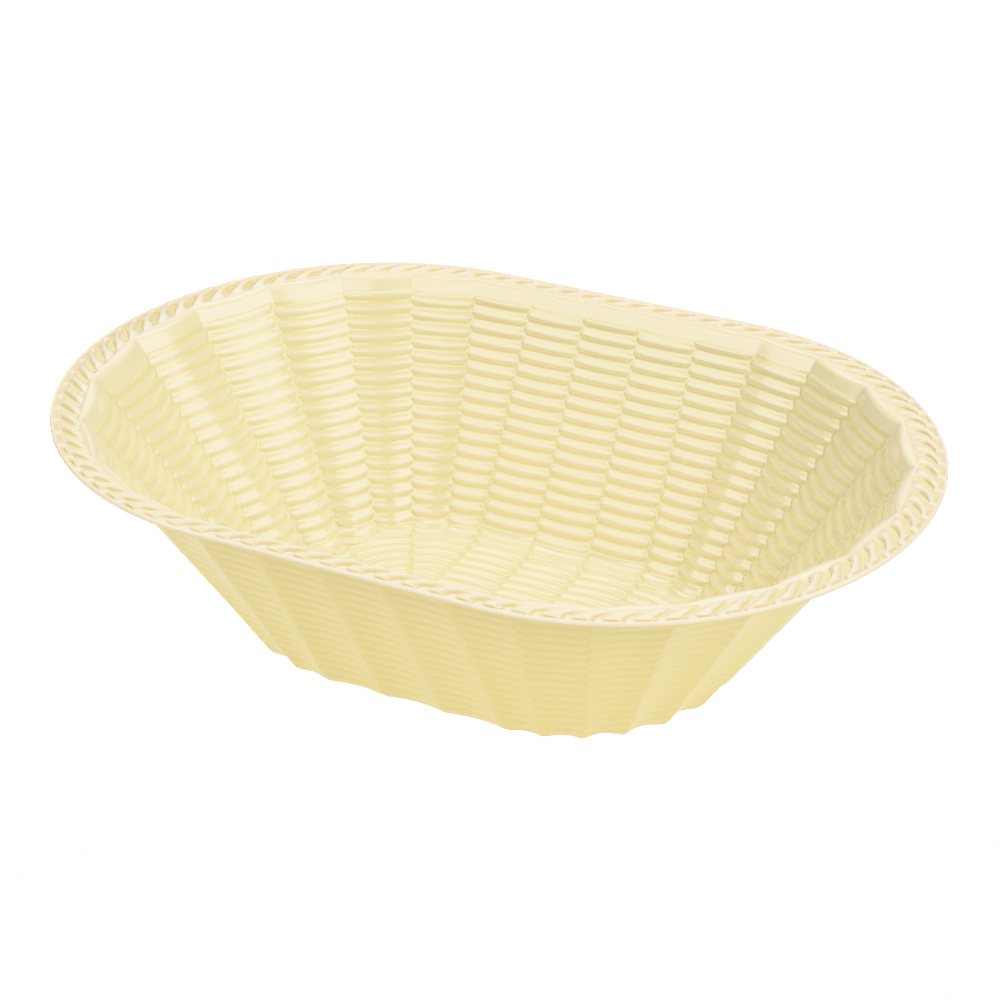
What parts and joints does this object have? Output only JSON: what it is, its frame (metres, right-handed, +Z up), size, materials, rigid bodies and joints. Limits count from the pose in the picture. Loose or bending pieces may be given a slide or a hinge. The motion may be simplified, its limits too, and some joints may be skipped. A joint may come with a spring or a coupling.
{
  "type": "easter basket",
  "caption": "Low oval moulded basket with a flared wicker-look wall, a woven floor, a rolled lip and a wide plaited rim, open at the top, with no handle.",
  "frame": {"origin": "middle of the flat underside of the base", "axes": "+X along the basket's length, +Y across it, +Z up out of the opening"},
  "size_m": [0.3, 0.215, 0.083],
  "materials": {
    "weave_plastic": "glossy pale yellow moulded plastic, ribbed like weaving, slightly translucent",
    "lip_plastic": "smooth glossy pale yellow moulded plastic",
    "rim_plastic": "glossy cream yellow moulded plastic with raised plaited strands"
  },
  "bodies": {
    "root": {"woven_floor": "weave_plastic", "heel": "weave_plastic", "woven_wall": "weave_plastic", "rolled_lip": "lip_plastic", "rim_flange": "rim_plastic", "rim_bead": "rim_plastic", "plait_strands": "rim_plastic", "plait_tucks": "rim_plastic"}
  },
  "joints": []
}
